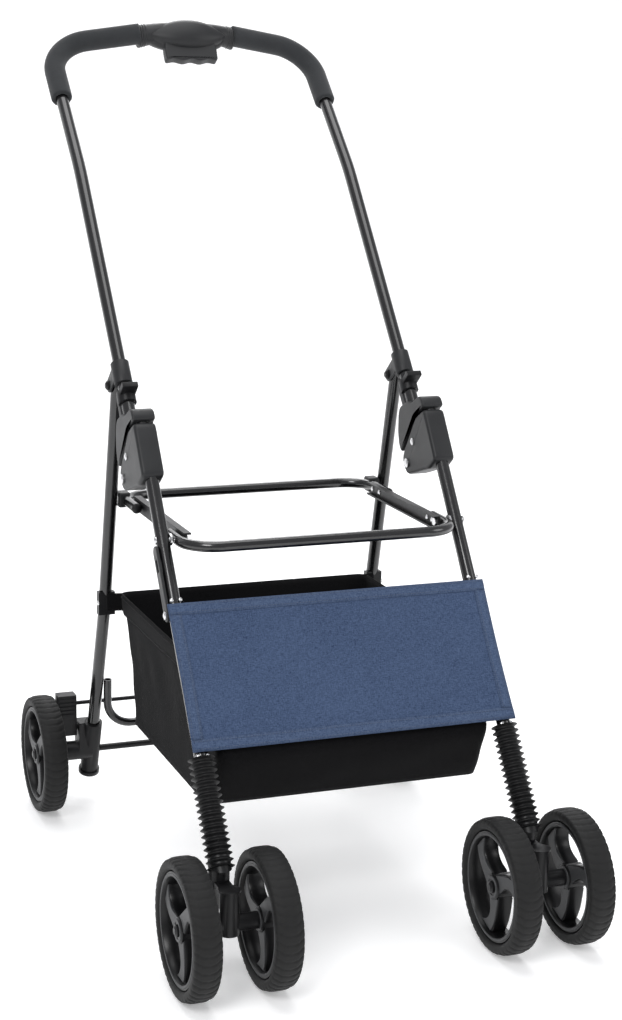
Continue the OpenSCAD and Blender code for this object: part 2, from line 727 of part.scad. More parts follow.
module rear_fittings() {
    color([0.3, 0.3, 0.3])
        for (side = [-1, 1]) {
            // basket brackets on the rear legs, cut round the tube
            difference() {
                translate([side * side_x - bracket_w / 2, rear_leg_y(bracket_z) - bracket_w / 2,
                           bracket_z - 14])
                    cube([bracket_w, bracket_w, 28]);
                bent_bar(rear_leg_pts(side), [rear_bend_r], tube_d + 0.1);
                translate([side * side_x - bracket_w / 2 - 2, rear_leg_y(bracket_z), bracket_z - 20])
                    cube([bracket_w + 4, 30, 50]);
            }
            // brake pivot studs
            translate([side * (side_x + stud_x0), brake_pivot[0], brake_pivot[1]])
                rotate([0, side * 90, 0]) cylinder(h = pedal_x0 + pedal_w + 1 - stud_x0, d = pin_d);
        }
}
// Both pedals and their link rod turn together.
link_d = 5;
link_yz = [max(rear_axle_yz[0] + 11, rear_low_y(wheel_r + 58) + tube_r + link_d / 2 + 3), wheel_r + 58];
pedal_back = max(brake_pivot[0] + 9, link_yz[0] + 2);
module brake_bar() {
    color([0.25, 0.25, 0.255]) {
        rod(at(-side_x - pedal_x0 - 2, link_yz), at(side_x + pedal_x0 + 2, link_yz), link_d);
        for (side = [-1, 1])
            translate([side * (side_x + pedal_x0 + pedal_w / 2), 0, 0])
                difference() {
                    union() {
                        translate([-pedal_w / 2, brake_pivot[0] - 9, brake_pivot[1] - 8])
                            cube([pedal_w, pedal_back - brake_pivot[0] + 9, 52]);
                        for (rib = [0 : 4])
                            translate([-pedal_w / 2 + 1.5, brake_pivot[0] - 10.4,
                                       brake_pivot[1] + 18 + rib * 5])
                                cube([pedal_w - 3, 21, 2.2]);
                        translate([0, brake_pivot[0], brake_pivot[1]]) rotate([0, 90, 0])
                            cylinder(h = pedal_w, d = 18, center = true);
                    }
                    translate([0, brake_pivot[0], brake_pivot[1]]) rotate([0, 90, 0])
                        cylinder(h = pedal_w + 2, d = pin_d + 2 * run_gap, center = true);
                }
    }
}

// ---- soft goods ----
panel_gap = 0.6;
module front_panel() {
    color([0.24, 0.3, 0.46])
        translate([0, foot[0], foot[1]]) rotate([-front_lean, 0, 0])
            translate([-panel_w / 2, -tube_r - panel_gap - panel_t, panel_low])
                cube([panel_w, panel_t, panel_h]);
}
module panel_rivets() {
    color([0.8, 0.8, 0.8])
        for (side = [-1, 1])
            for (up = [panel_low + 8, panel_low + panel_h - 8])
                leg_frame(side) translate([0, -tube_r - panel_gap - panel_t, up]) rotate([90, 0, 0])
                    domed_head(8, 2);
}
basket_x = side_x - bellows_d / 2 - pass_gap;
basket_back_top = [rear_leg_y(basket_top) - 12, basket_top];
basket_back_low = [rear_leg_y(basket_top) - 66, basket_floor];
basket_nose = 100;
function behind_panel(up, gap) = foot + along(front_lean, up, gap - tube_r);
basket_front_top = behind_panel((basket_top - foot[1]) / cos(front_lean), 1);
basket_front_mid = behind_panel(basket_nose, 1);
basket_front_low = [basket_front_mid[0] + 36, basket_floor];
module basket() {
    w = basket_wall;
    color([0.07, 0.07, 0.075])
        difference() {
            side_plate(2 * basket_x)
                polygon([basket_back_top, basket_back_low, basket_front_low, basket_front_mid,
                         basket_front_top]);
            side_plate(2 * (basket_x - w))
                polygon([basket_back_top + [-w, 1], basket_back_low + [-w, w], basket_front_low + [w, w],
                         basket_front_mid + [w * 1.3, w * 0.3], basket_front_top + [w * 1.3, 1]]);
        }
}

// ---- transport latch on the left front leg ----
latch_up = 262;
latch_len = 72;
latch_x = tube_r + 0.5;
module fold_latch() {
    color([0.3, 0.3, 0.31])
        leg_frame(-1) translate([-latch_x - 1.5, 0, latch_up])
            difference() {
                side_plate(3) {
                    circle(r = 7);
                    translate([-7, 0]) square([14, latch_len]);
                    translate([0, latch_len]) circle(r = 7);
                }
                side_plate(8) {
                    circle(d = 5 + 2 * run_gap);
                    translate([0, latch_len - 16]) square([6, 14], center = true);
                }
            }
}
module latch_pin() {
    color([0.8, 0.8, 0.8])
        leg_frame(-1) translate([-tube_r, 0, latch_up]) rotate([0, -90, 0]) {
            cylinder(h = 4.2, d = 5);
            translate([0, 0, 4]) domed_head(9, 2);
        }
}

front_leg(-1);  // front_leg_left
front_leg(1);  // front_leg_right
lower_lock(-1);  // lower_lock_left
lower_lock(1);  // lower_lock_right
fold_pivot_pins();
lock_screws();
ring_pivot_pins();
front_panel();
panel_rivets();
basket();
bellows(-1);  // bellows_left
bellows(1);  // bellows_right
fold_latch();
latch_pin();
strut(-1);  // strut_left
strut(1);  // strut_right
strut_spring(-1);  // strut_spring_left
strut_spring(1);  // strut_spring_right
caster_carrier(-1);  // caster_carrier_left
caster_carrier(1);  // caster_carrier_right
caster_axle(-1);  // caster_axle_left
caster_axle(1);  // caster_axle_right
tyre(-side_x - twin_gap, front_axle[0]);  // tyre_left_outer
tyre(-side_x + twin_gap, front_axle[0]);  // tyre_left_inner
tyre(side_x - twin_gap, front_axle[0]);  // tyre_right_inner
tyre(side_x + twin_gap, front_axle[0]);  // tyre_right_outer
rim(-side_x - twin_gap, front_axle[0]);  // rim_left_outer
rim(-side_x + twin_gap, front_axle[0]);  // rim_left_inner
rim(side_x - twin_gap, front_axle[0]);  // rim_right_inner
rim(side_x + twin_gap, front_axle[0]);  // rim_right_outer
handle_bar();
foam_grip(-1);  // foam_grip_left
foam_grip(1);  // foam_grip_right
release_shell(true);  // release_shell_front
release_shell(false);  // release_shell_back
upper_lock(-1);  // upper_lock_left
upper_lock(1);  // upper_lock_right
leg_bracket(-1);  // leg_bracket_left
leg_bracket(1);  // leg_bracket_right
bracket_pins();
release_lever();
lock_slider(-1);  // lock_slider_left
lock_slider(1);  // lock_slider_right
ring_front_tube();
ring_rear_tube();
ring_bar(-1);  // ring_bar_left
ring_bar(1);  // ring_bar_right
ring_rivets();
rear_leg(-1);  // rear_leg_left
rear_leg(1);  // rear_leg_right
rear_axle();
cross_tube();
foot_block(-1);  // foot_block_left
foot_block(1);  // foot_block_right
rear_fittings();
tyre(-rear_wheel_x, rear_axle_yz[0]);  // rear_tyre_left
tyre(rear_wheel_x, rear_axle_yz[0]);  // rear_tyre_right
rim(-rear_wheel_x, rear_axle_yz[0]);  // rear_rim_left
rim(rear_wheel_x, rear_axle_yz[0]);  // rear_rim_right
brake_bar();
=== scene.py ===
import json
import math

import bmesh
import bpy
from mathutils import Matrix, Vector, noise

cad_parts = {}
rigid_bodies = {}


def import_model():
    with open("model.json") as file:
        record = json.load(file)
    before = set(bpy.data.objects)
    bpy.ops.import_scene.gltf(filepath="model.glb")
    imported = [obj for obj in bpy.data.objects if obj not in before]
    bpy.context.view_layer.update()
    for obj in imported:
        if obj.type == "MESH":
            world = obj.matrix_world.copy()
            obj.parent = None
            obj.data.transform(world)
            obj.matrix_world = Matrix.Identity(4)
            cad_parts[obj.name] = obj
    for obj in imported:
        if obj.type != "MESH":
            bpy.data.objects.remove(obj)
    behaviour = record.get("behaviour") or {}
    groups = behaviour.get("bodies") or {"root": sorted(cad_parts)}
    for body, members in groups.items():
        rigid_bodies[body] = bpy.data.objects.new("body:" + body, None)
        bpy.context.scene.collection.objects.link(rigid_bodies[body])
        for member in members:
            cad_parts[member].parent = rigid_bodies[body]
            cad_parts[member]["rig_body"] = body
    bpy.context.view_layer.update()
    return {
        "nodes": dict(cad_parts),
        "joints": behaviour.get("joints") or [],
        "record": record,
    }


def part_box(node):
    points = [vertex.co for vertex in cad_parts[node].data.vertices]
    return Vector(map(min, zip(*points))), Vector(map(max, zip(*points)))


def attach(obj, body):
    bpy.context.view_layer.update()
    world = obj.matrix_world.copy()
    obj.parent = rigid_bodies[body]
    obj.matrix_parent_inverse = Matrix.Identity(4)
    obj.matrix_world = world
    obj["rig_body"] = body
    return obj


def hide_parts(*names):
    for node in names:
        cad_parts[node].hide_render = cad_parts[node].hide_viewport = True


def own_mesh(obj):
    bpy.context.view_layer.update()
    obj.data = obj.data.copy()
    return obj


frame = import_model()
jointOf = {j["name"]: j for j in frame["joints"]}
slotOf = {s["node"]: s["material_slot"] for s in frame["record"]["subparts"]}
sides = {"left": -1, "right": 1}
print("frame loaded:", len(frame["nodes"]), "nodes")


# ---- shader maths written as expressions ----
class Flow:
    # one shader output, with the arithmetic this script uses
    def __init__(self, shade, socket):
        self.shade, self.socket = shade, socket

    def maths(self, operation, a, b=0.0):
        return self.shade.node("ShaderNodeMath", {"operation": operation}, {0: a, 1: b})

    def __add__(self, other):
        return self.maths("ADD", self, other)

    def __sub__(self, other):
        return self.maths("SUBTRACT", self, other)

    def __rsub__(self, other):
        return self.maths("SUBTRACT", other, self)

    def __mul__(self, other):
        return self.maths("MULTIPLY", self, other)

    def sine(self):
        return self.maths("SINE", self)

    __radd__, __rmul__ = __add__, __mul__


class Shade:
    # a material and its node tree; uniform values go straight on the shader's sockets
    def __init__(self, name, **uniform):
        self.material = bpy.data.materials.new(name)
        self.material.use_nodes = True
        self.tree = self.material.node_tree
        self.shader = self.tree.nodes["Principled BSDF"]
        for key, value in uniform.items():
            self.shader.inputs[key.replace("_", " ")].default_value = value

    def node(self, kind, settings=None, sockets=None, output=0):
        made = self.tree.nodes.new(kind)
        for key, value in (settings or {}).items():
            setattr(made, key, value)
        for key, value in (sockets or {}).items():
            if isinstance(value, Flow):
                self.tree.links.new(value.socket, made.inputs[key])
            else:
                made.inputs[key].default_value = value
        return Flow(self, made.outputs[output])

    def feed(self, name, value):
        self.tree.links.new(value.socket, self.shader.inputs[name])

    def place(self, turn=(0, 0, 0), stretch=(1, 1, 1)):
        coords = self.node("ShaderNodeTexCoord", output="Object")
        return self.node("ShaderNodeMapping", {}, {"Vector": coords, "Rotation": turn, "Scale": stretch})

    def axes(self, where):
        split = self.node("ShaderNodeSeparateXYZ", {}, {"Vector": where})
        return [Flow(self, split.socket.node.outputs[i]) for i in range(3)]

    def speckle(self, where, scale, detail=3.0, roughness=0.55):
        return self.node("ShaderNodeTexNoise", {}, {"Vector": where, "Scale": scale, "Detail": detail,
                                                    "Roughness": roughness})

    def blend(self, share, first, second):
        return self.node("ShaderNodeMix", {"data_type": "RGBA"}, {0: share, 6: (*first, 1), 7: (*second, 1)}, 2)

    def relief(self, height, depth, strength=1.0):
        self.feed("Normal", self.node("ShaderNodeBump", {}, {"Height": height, "Distance": depth,
                                                             "Strength": strength}))
        return self.material


def glossPaint():
    s = Shade("glossPaint", Coat_Roughness=0.08, Specular_IOR_Level=0.5)
    where = s.place()
    broad, peel = s.speckle(where, 22, 2), s.speckle(where, 900, 2)
    s.feed("Base Color", s.blend(broad, (0.003, 0.003, 0.0032), (0.006, 0.006, 0.0065)))
    s.feed("Roughness", broad * 0.12 + 0.17)
    s.feed("Coat Weight", broad * 0.3 + 0.45)
    return s.relief(peel, 0.00004, 0.35)


def mouldedPlastic(name, dark, light, gloss, grain=2200, depth=0.00008):
    s = Shade(name, Specular_IOR_Level=0.3)
    where = s.place()
    mottle, fine = s.speckle(where, 35, 3), s.speckle(where, grain, 2)
    s.feed("Base Color", s.blend(mottle * 0.6 + fine * 0.4, dark, light))
    s.feed("Roughness", mottle * 0.14 + gloss)
    return s.relief(fine + mottle * 0.4, depth, 0.6)


def bareSteel():
    s = Shade("bareSteel", Metallic=1.0)
    where = s.place()
    marks = s.speckle(s.place(stretch=(1, 8, 1)), 700, 3)
    s.feed("Base Color", s.blend(s.speckle(where, 60, 2), (0.58, 0.58, 0.59), (0.8, 0.8, 0.8)))
    s.feed("Roughness", marks * 0.2 + 0.16)
    return s.relief(marks, 0.00003, 0.4)


def wovenCloth(name, turn, yarn, dark, light, fleck, rough, depth):
    # plain weave of crossing yarns with heathered flecks stretched along them
    s = Shade(name, Sheen_Weight=0.03, Sheen_Roughness=0.5, Specular_IOR_Level=0.06)
    where = s.place(turn)
    x, y, z = s.axes(where)
    pitch = 2 * math.pi / yarn
    warp, weft = (x * pitch).sine(), (z * pitch).sine()
    over = (warp * weft) * 0.5 + 0.5
    along = s.speckle(s.place(turn, (1, 1, 7)), fleck, 4, 0.7)
    across = s.speckle(s.place(turn, (7, 1, 1)), fleck, 4, 0.7)
    broad = s.speckle(where, 14, 2)
    tone = (along + across) * 2.1 - 1.62 + broad * 0.25 + over * 0.12
    s.feed("Base Color", s.blend(tone, dark, light))
    s.feed("Roughness", over * -0.08 + rough)
    return s.relief(over + along * 0.5, depth, 0.8)


def closedFoam():
    s = Shade("closedFoam", Sheen_Weight=0.15, Specular_IOR_Level=0.25)
    where = s.place()
    cells = s.node("ShaderNodeTexVoronoi", {}, {"Vector": where, "Scale": 900})
    tone = s.speckle(where, 60, 4)
    s.feed("Base Color", s.blend(tone, (0.016, 0.0175, 0.019), (0.034, 0.036, 0.039)))
    s.feed("Roughness", tone * 0.15 + 0.78)
    return s.relief(cells + tone * 0.6, 0.00025, 0.7)


def tyreRubber():
    s = Shade("tyreRubber", Specular_IOR_Level=0.3)
    where = s.place()
    dust, fine = s.speckle(where, 40, 5, 0.7), s.speckle(where, 1400, 2)
    s.feed("Base Color", s.blend(dust, (0.004, 0.004, 0.004), (0.013, 0.013, 0.013)))
    s.feed("Roughness", dust * 0.2 + 0.55)
    return s.relief(fine + dust * 0.5, 0.00012, 0.6)


def paleFloor():
    s = Shade("paleFloor", Specular_IOR_Level=0.1, Emission_Strength=0.3, Emission_Color=(1, 1, 1, 1))
    where = s.place()
    s.feed("Base Color", s.blend(s.speckle(where, 3, 2), (0.9, 0.9, 0.9), (0.93, 0.93, 0.93)))
    s.feed("Roughness", s.speckle(where, 30, 2) * 0.1 + 0.7)
    return s.material


legAxis = Vector(jointOf["strut_left_travel"]["axis"])
legLean = math.atan2(legAxis.y, legAxis.z)
paint = glossPaint()
lockPlastic = mouldedPlastic("lockPlastic", (0.014, 0.0145, 0.0155), (0.026, 0.0265, 0.028), 0.36)
blackPlastic = mouldedPlastic("blackPlastic", (0.005, 0.005, 0.0055), (0.011, 0.011, 0.012), 0.32)
rimBlack = mouldedPlastic("rimBlack", (0.003, 0.003, 0.0033), (0.007, 0.007, 0.0075), 0.24, 1500, 0.00004)
spokeGrey = mouldedPlastic("spokeGrey", (0.03, 0.031, 0.033), (0.055, 0.056, 0.058), 0.4)
rubber = mouldedPlastic("bellowsRubber", (0.004, 0.004, 0.0043), (0.009, 0.009, 0.0095), 0.42, 1300, 0.0001)
steel = bareSteel()
foam = closedFoam()
tyreSkin = tyreRubber()
denim = wovenCloth("denimCloth", (-legLean, 0, 0), 0.0015, (0.013, 0.024, 0.058), (0.07, 0.104, 0.185),
                   260, 0.88, 0.00025)
hemDenim = wovenCloth("hemDenim", (-legLean, 0, 0), 0.0015, (0.017, 0.03, 0.068), (0.082, 0.118, 0.2),
                      260, 0.88, 0.00025)
oxford = wovenCloth("oxfordCloth", (0, 0, 0.1), 0.0018, (0.0012, 0.0012, 0.0014), (0.0055, 0.0055, 0.0062),
                    300, 0.85, 0.0003)
blueThread = mouldedPlastic("blueThread", (0.05, 0.07, 0.12), (0.1, 0.13, 0.2), 0.7)
blackThread = mouldedPlastic("blackThread", (0.01, 0.01, 0.011), (0.022, 0.022, 0.024), 0.6)
finishOf = {"tube": paint, "lock_plastic": lockPlastic, "rivet": steel, "spring_steel": steel,
            "black_plastic": blackPlastic, "caster_plastic": blackPlastic, "bellows_rubber": rubber,
            "tyre": tyreSkin, "rim": rimBlack, "foam": foam, "panel_cloth": denim, "basket_cloth": oxford}
# nodes whose slot says tube or steel, but whose finish is a dull black
darker = ("strut_left", "strut_right", "ring_bar_", "brake_bar", "foot_block", "caster_axle", "rear_axle",
          "lock_slider")
for nodeName, node in frame["nodes"].items():
    node.data.materials.clear()
    node.data.materials.append(blackPlastic if nodeName.startswith(darker) else finishOf[slotOf[nodeName]])
print("finishes made")


# ---- helpers for pieces ----
def piece(name, verts, faces, materials, kinds=None, smooth=True):
    mesh = bpy.data.meshes.new(name)
    mesh.from_pydata([tuple(v) for v in verts], [], faces)
    for material in materials:
        mesh.materials.append(material)
    if kinds:
        mesh.polygons.foreach_set("material_index", kinds)
    mesh.polygons.foreach_set("use_smooth", [smooth] * len(mesh.polygons))
    obj = bpy.data.objects.new(name, mesh)
    bpy.context.scene.collection.objects.link(obj)
    tidyMesh(mesh)
    return obj


def tidyMesh(mesh):
    work = bmesh.new()
    work.from_mesh(mesh)
    bmesh.ops.remove_doubles(work, verts=work.verts, dist=1e-6)
    bmesh.ops.recalc_face_normals(work, faces=work.faces)
    work.to_mesh(mesh)
    work.free()
    mesh.update()


def settle(obj):
    # apply every modifier and leave a plain mesh
    graph = bpy.context.evaluated_depsgraph_get()
    mesh = bpy.data.meshes.new_from_object(obj.evaluated_get(graph), depsgraph=graph)
    obj.modifiers.clear()
    if obj.type != "MESH":
        plain = bpy.data.objects.new(obj.name, mesh)
        bpy.context.scene.collection.objects.link(plain)
        bpy.data.objects.remove(obj)
        return plain
    obj.data = mesh
    return obj


def addModifier(obj, kind, **settings):
    made = obj.modifiers.new(kind.lower(), kind)
    for key, value in settings.items():
        setattr(made, key, value)
    return made


def grid(rows, columns, wrapRows=False, wrapColumns=False):
    faces = []
    for i in range(rows if wrapRows else rows - 1):
        for j in range(columns if wrapColumns else columns - 1):
            a, b = i % rows, (i + 1) % rows
            c, d = j % columns, (j + 1) % columns
            faces.append((a * columns + c, a * columns + d, b * columns + d, b * columns + c))
    return faces


def turned(profile, centre, segments=96):
    # a closed profile of (across, radius) turned about the wheel's axis
    verts = []
    for i in range(segments):
        a = 2 * math.pi * i / segments
        verts += [centre + Vector((x, r * math.cos(a), r * math.sin(a))) for x, r in profile]
    return verts, grid(segments, len(profile), True, True)


def lathe(profile, centre, axis, segments=40):
    # (along, radius) pairs turned about any axis; both ends close on it
    turn = Vector(axis).normalized().to_track_quat("Z", "Y")
    verts = []
    angles = [2 * math.pi * i / segments for i in range(segments)]
    for along, r in profile:
        verts += [centre + turn @ Vector((r * math.cos(a), r * math.sin(a), along)) for a in angles]
    faces = grid(len(profile), segments, False, True)
    faces += [tuple(range(segments - 1, -1, -1)), tuple((len(profile) - 1) * segments + i for i in range(segments))]
    return verts, faces


def dome(centre, axis, radius, high):
    steps = [(high * math.sin(math.radians(a)), radius * math.cos(math.radians(a))) for a in (0, 18, 36, 54, 72, 84)]
    return lathe([(-0.0008, radius * 0.9), (0, radius)] + steps[1:], centre, axis, 28)


def softCorners(outline, cut, steps=5):
    points = []
    for i, corner in enumerate(outline):
        before, after = Vector(outline[i - 1]), Vector(outline[(i + 1) % len(outline)])
        corner = Vector(corner)
        near = corner + (before - corner).normalized() * min(cut, (before - corner).length * 0.45)
        far = corner + (after - corner).normalized() * min(cut, (after - corner).length * 0.45)
        for k in range(steps + 1):
            t = k / steps
            points.append(near * (1 - t) ** 2 + corner * 2 * t * (1 - t) + far * t * t)
    return points


def puffed(outline, half, edge, place, cut):
    # a moulded half-round-edged housing: outline drawn as (back, up), thickness across
    base = softCorners([(a / 1000, b / 1000) for a, b in outline], cut)
    n = len(base)
    normals = []
    for i in range(n):
        run = (base[(i + 1) % n] - base[i - 1]).normalized()
        normals.append(Vector((-run.y, run.x)))
    area = sum(base[i - 1].x * base[i].y - base[i].x * base[i - 1].y for i in range(n))
    inward = 1 if area > 0 else -1
    # the last loop lies flat inside the rounded edge, so the flat face shades flat
    loops = [(-1, k) for k in range(6, -1, -1)] + [(1, k) for k in range(7)]
    verts = []
    for face, k in loops:
        a = math.radians(min(k, 5) * 18)
        inset = edge * (1 - math.cos(a)) + (0.0006 if k == 6 else 0)
        x = half - edge + edge * math.sin(a)
        verts += [place(face * x, *(base[i] + normals[i] * inward * inset)) for i in range(n)]
    faces = grid(len(loops), n, False, True)
    faces += [tuple(range(n)), tuple((len(loops) - 1) * n + i for i in range(n - 1, -1, -1))]
    return verts, faces


def merged(parts):
    verts, faces, kinds = [], [], []
    for partVerts, partFaces, kind in parts:
        base = len(verts)
        verts += partVerts
        faces += [tuple(i + base for i in f) for f in partFaces]
        kinds += [kind] * len(partFaces)
    return verts, faces, kinds


# ---- Geometry Nodes trees ----
class Tree:
    def __init__(self, name, inputs):
        self.group = bpy.data.node_groups.new(name, "GeometryNodeTree")
        face = self.group.interface
        face.new_socket("Geometry", in_out="INPUT", socket_type="NodeSocketGeometry")
        for key, kind in inputs.items():
            face.new_socket(key, in_out="INPUT", socket_type="NodeSocket" + kind)
        face.new_socket("Geometry", in_out="OUTPUT", socket_type="NodeSocketGeometry")
        self.start = self.group.nodes.new("NodeGroupInput")
        self.end = self.group.nodes.new("NodeGroupOutput")

    def given(self, name):
        return self.start.outputs[name]

    def node(self, kind, settings=None, sockets=None, output=0):
        made = self.group.nodes.new(kind)
        for key, value in (settings or {}).items():
            setattr(made, key, value)
        for key, value in (sockets or {}).items():
            if isinstance(value, bpy.types.NodeSocket):
                self.group.links.new(value, made.inputs[key])
            else:
                made.inputs[key].default_value = value
        return made.outputs[output]

    def close(self, geometry):
        realized = self.node("GeometryNodeRealizeInstances", {}, {"Geometry": geometry})
        painted = self.node("GeometryNodeSetMaterial", {}, {"Geometry": realized, "Material": self.given("Finish")})
        self.group.links.new(painted, self.end.inputs[0])

    def use(self, obj, **values):
        modifier = obj.modifiers.new(self.group.name, "NODES")
        modifier.node_group = self.group
        for item in self.group.interface.items_tree:
            if item.in_out == "INPUT" and item.name.replace(" ", "") in values:
                modifier[item.identifier] = values[item.name.replace(" ", "")]
        return settle(obj)


def stitchTree():
    # short rounded stitches laid end to end along a path of edges
    t = Tree("stitchRow", {"Pitch": "Float", "Thread": "Float", "Finish": "Material"})
    path = t.node("GeometryNodeMeshToCurve", {}, {"Mesh": t.given("Geometry")})
    even = t.node("GeometryNodeResampleCurve", {"mode": "LENGTH"}, {"Curve": path, "Length": t.given("Pitch")})
    bead = t.node("GeometryNodeMeshUVSphere", {}, {"Segments": 6, "Rings": 4, "Radius": 1.0})
    half = t.node("ShaderNodeMath", {"operation": "MULTIPLY"}, {0: t.given("Pitch"), 1: 0.38})
    size = t.node("ShaderNodeCombineXYZ", {}, {0: t.given("Thread"), 1: t.given("Thread"), 2: half})
    tangent = t.node("GeometryNodeInputTangent")
    lie = t.node("FunctionNodeAlignRotationToVector", {"axis": "Z"}, {"Vector": tangent})
    row = t.node("GeometryNodeInstanceOnPoints", {}, {"Points": even, "Instance": bead, "Rotation": lie,
                                                      "Scale": size})
    t.close(row)
    return t


def bellowsTree():
    # a tube whose radius dips from a sharp crest to a round root once for every fold
    t = Tree("bellowsFolds", {"Foot": "Vector", "Top": "Vector", "Folds": "Float", "Root": "Float", "Crest": "Float",
                              "Finish": "Material"})
    line = t.node("GeometryNodeCurvePrimitiveLine", {}, {"Start": t.given("Foot"), "End": t.given("Top")})
    fine = t.node("GeometryNodeResampleCurve", {"mode": "COUNT"}, {"Curve": line, "Count": 171})
    factor = t.node("GeometryNodeSplineParameter")
    turns = t.node("ShaderNodeMath", {"operation": "MULTIPLY"}, {0: factor, 1: t.given("Folds")})
    angle = t.node("ShaderNodeMath", {"operation": "MULTIPLY"}, {0: turns, 1: math.pi})
    wave = t.node("ShaderNodeMath", {"operation": "SINE"}, {0: angle})
    bulge = t.node("ShaderNodeMath", {"operation": "ABSOLUTE"}, {0: wave})
    fall = t.node("ShaderNodeMath", {"operation": "SUBTRACT"}, {0: t.given("Root"), 1: t.given("Crest")})
    swell = t.node("ShaderNodeMath", {"operation": "MULTIPLY_ADD"}, {0: bulge, 1: fall, 2: t.given("Crest")})
    circle = t.node("GeometryNodeCurvePrimitiveCircle", {}, {"Resolution": 40, "Radius": 1.0})
    skin = t.node("GeometryNodeCurveToMesh", {}, {"Curve": fine, "Profile Curve": circle, "Scale": swell,
                                                  "Fill Caps": True})
    t.close(t.node("GeometryNodeSetShadeSmooth", {}, {"Geometry": skin}))
    return t


stitches, folds = stitchTree(), bellowsTree()


def pathObject(name, points, closed=False):
    mesh = bpy.data.meshes.new(name)
    edges = [(i, i + 1) for i in range(len(points) - 1)] + ([(len(points) - 1, 0)] if closed else [])
    mesh.from_pydata([tuple(p) for p in points], edges, [])
    obj = bpy.data.objects.new(name, mesh)
    bpy.context.scene.collection.objects.link(obj)
    return obj


def stitchRow(name, paths, pitch, thread, material):
    # several runs of stitching as one piece
    points, edges = [], []
    for path in paths:
        base = len(points)
        points += path
        edges += [(base + i, base + i + 1) for i in range(len(path) - 1)]
    mesh = bpy.data.meshes.new(name)
    mesh.from_pydata([tuple(p) for p in points], edges, [])
    obj = bpy.data.objects.new(name, mesh)
    bpy.context.scene.collection.objects.link(obj)
    return stitches.use(obj, Pitch=pitch, Thread=thread, Finish=material)


# ---- moulded pieces: the CAD solids with their edges rounded ----
moulded = {"leg_bracket_left": 0.0006, "leg_bracket_right": 0.0006, "lock_slider_left": 0.0012,
           "lock_slider_right": 0.0012, "foot_block_left": 0.0015, "foot_block_right": 0.0015, "brake_bar": 0.0006,
           "caster_carrier_left": 0.0012, "caster_carrier_right": 0.0012, "fold_latch": 0.0006}
for nodeName, radius in moulded.items():
    source = frame["nodes"][nodeName]
    mesh = source.data.copy()
    work = bmesh.new()
    work.from_mesh(mesh)
    bmesh.ops.remove_doubles(work, verts=work.verts, dist=2e-6)
    bmesh.ops.dissolve_limit(work, angle_limit=math.radians(1.5), verts=work.verts, edges=work.edges)
    work.to_mesh(mesh)
    work.free()
    obj = bpy.data.objects.new(nodeName + ".rounded", mesh)
    bpy.context.scene.collection.objects.link(obj)
    addModifier(obj, "BEVEL", width=radius, segments=3, limit_method="ANGLE", angle_limit=math.radians(32),
                use_clamp_overlap=True, harden_normals=True, miter_outer="MITER_ARC")
    obj.data.polygons.foreach_set("use_smooth", [True] * len(obj.data.polygons))
    obj = settle(obj)
    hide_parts(nodeName)
    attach(obj, source["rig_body"])
print("moulded pieces rounded")

# ---- lock housings ----
lockShape = {"lower": [(-75, -31), (-75.5, 30), (-72, 34), (-48, 37), (8, 16), (13, 8), (13, -2), (9, -11), (-2, -15),
                       (-42, -28), (-52, -32)],
             "upper": [(-76.5, 36), (-76, 47), (-70, 53), (-46, 56), (-37, 63), (-14, 67), (-6, 62), (7, 44),
                       (12, 28), (10, 18), (-47, 39)],
             "spine": [(2, 40), (14, 44), (13, 92), (6, 100), (2, 100)],
             "half": 0.0128, "spineHalf": 0.0085, "capOver": 0.0004, "tubeAhead": 0.0308}
foldAt = Vector(jointOf["fold"]["pos_m"])
halfFrame = abs(jointOf["caster_left_swivel"]["pos_m"][0])
liftAxis = Vector(jointOf["slider_left_lift"]["axis"])
handleLean = math.atan2(liftAxis.y, liftAxis.z)


def sidePlane(sign, lean, origin):
    return lambda x, back, up: Vector((sign * halfFrame + x, origin.y + back * math.cos(lean) + up * math.sin(lean),
                                       origin.z - back * math.sin(lean) + up * math.cos(lean)))


for side, sign in sides.items():
    at = sidePlane(sign, legLean, foldAt)
    ahead = Vector((0, -math.cos(handleLean), math.sin(handleLean))) * lockShape["tubeAhead"]
    onTube = sidePlane(sign, handleLean, foldAt + ahead)
    half = lockShape["half"]
    lower = piece("lowerLock." + side, *puffed(lockShape["lower"], half, 0.004, at, 0.007), [lockPlastic])
    parts = [(*puffed(lockShape["upper"], half + lockShape["capOver"], 0.0025, at, 0.005), 0),
             (*puffed(lockShape["spine"], lockShape["spineHalf"], 0.002, onTube, 0.004), 0)]
    upper = piece("upperLock." + side, *merged(parts)[:2], [lockPlastic])
    for obj, old, body in ((lower, "lower_lock_", "front_frame"), (upper, "upper_lock_", "handle")):
        obj.data.set_sharp_from_angle(angle=math.radians(40))
        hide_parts(old + side)
        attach(obj, body)
print("lock housings built")

# ---- carrier ring fittings ----
ringFit = {"clip": [(-10, -9), (-10, 9), (10, 9), (10, -9)], "clipHalf": 0.0068, "clipOut": 0.0012,
           "clipBack": 0.023, "plug": 0.0061}
ringPivot = Vector(jointOf["ring_fold"]["pos_m"])
rearLow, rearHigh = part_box("ring_rear_tube")
frontLow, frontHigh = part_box("ring_front_tube")
ringX = (rearHigh.x - rearLow.x) / 2 - 0.006
clips, plugs = [], []
for sign in sides.values():
    def onRing(x, a, b, sign=sign):
        return Vector((sign * (ringX + ringFit["clipOut"]) + x, rearHigh.y - ringFit["clipBack"] + a,
                       ringPivot.z + b))
    clips.append((*puffed(ringFit["clip"], ringFit["clipHalf"], 0.002, onRing, 0.004), 0))
    for y, run in ((rearLow.y, -1), (frontHigh.y, 1)):
        plugs.append((*dome(Vector((sign * ringX, y, ringPivot.z)), (0, run, 0), ringFit["plug"], 0.003), 0))
